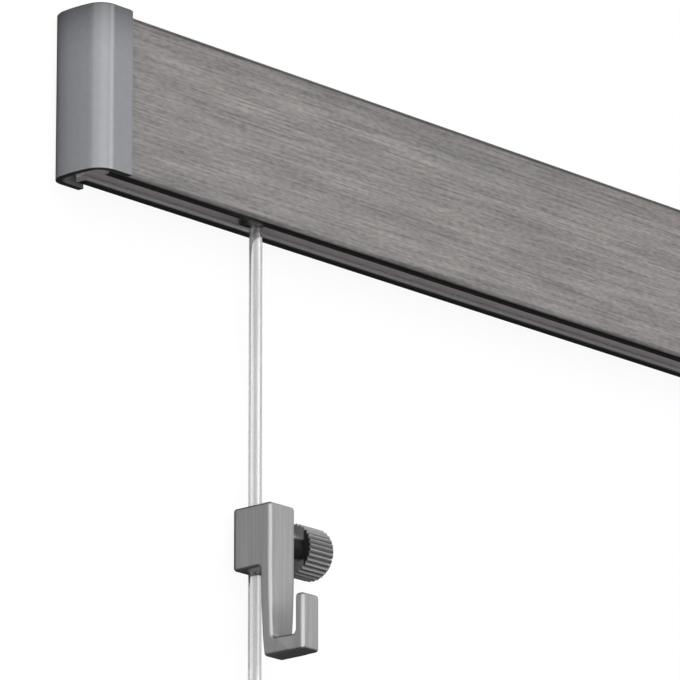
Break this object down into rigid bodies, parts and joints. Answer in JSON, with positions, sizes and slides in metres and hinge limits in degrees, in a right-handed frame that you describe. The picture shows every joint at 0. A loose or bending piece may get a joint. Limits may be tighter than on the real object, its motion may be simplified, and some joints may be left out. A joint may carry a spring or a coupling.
{
  "type": "picture rail",
  "caption": "Flat brushed picture hanging rail with moulded end caps, a clear cord that slides in its lower slot, and a clamping hook with a knurled thumb screw.",
  "frame": {"origin": "middle of the rail and its two end caps, in the plane of the caps' backs", "axes": "+X along the rail, +Y towards the edge that is uppermost in use, +Z out of the wall, which is up as the rail is stored, lying on its back"},
  "size_m": [1.008, 0.1789, 0.0153],
  "materials": {
    "rail_aluminium": "anodised, brushed along the rail",
    "cap_plastic": "smooth moulded, cool grey",
    "shoe_plastic": "moulded, black",
    "cord_nylon": "clear drawn nylon",
    "tie_plastic": "black tie",
    "hook_zinc": "die-cast, satin grey",
    "screw_metal": "turned and knurled, satin grey"
  },
  "bodies": {
    "rail_body": {"rail": "rail_aluminium", "end_cap_left": "cap_plastic", "end_cap_right": "cap_plastic"},
    "hanger_body": {"hanger_shoe": "shoe_plastic", "cord": "cord_nylon", "cord_coil": "cord_nylon", "coil_tie": "tie_plastic"},
    "hook": {"hook_body": "hook_zinc"},
    "screw": {"thumb_screw": "screw_metal"}
  },
  "joints": [
    {"name": "hanger_slide", "type": "slide", "parent": "rail_body", "child": "hanger_body", "axis": [1, 0, 0], "range_m": [-0.035, 0.96]},
    {"name": "hook_slide", "type": "slide", "parent": "hanger_body", "child": "hook", "axis": [0, 1, 0], "range_m": [-0.01, 0.02]},
    {"name": "screw_turn", "type": "hinge", "parent": "hook", "child": "screw", "pos_m": [-0.4627, -0.06025, 0.00402], "axis": [1, 0, 0], "continuous": true}
  ]
}
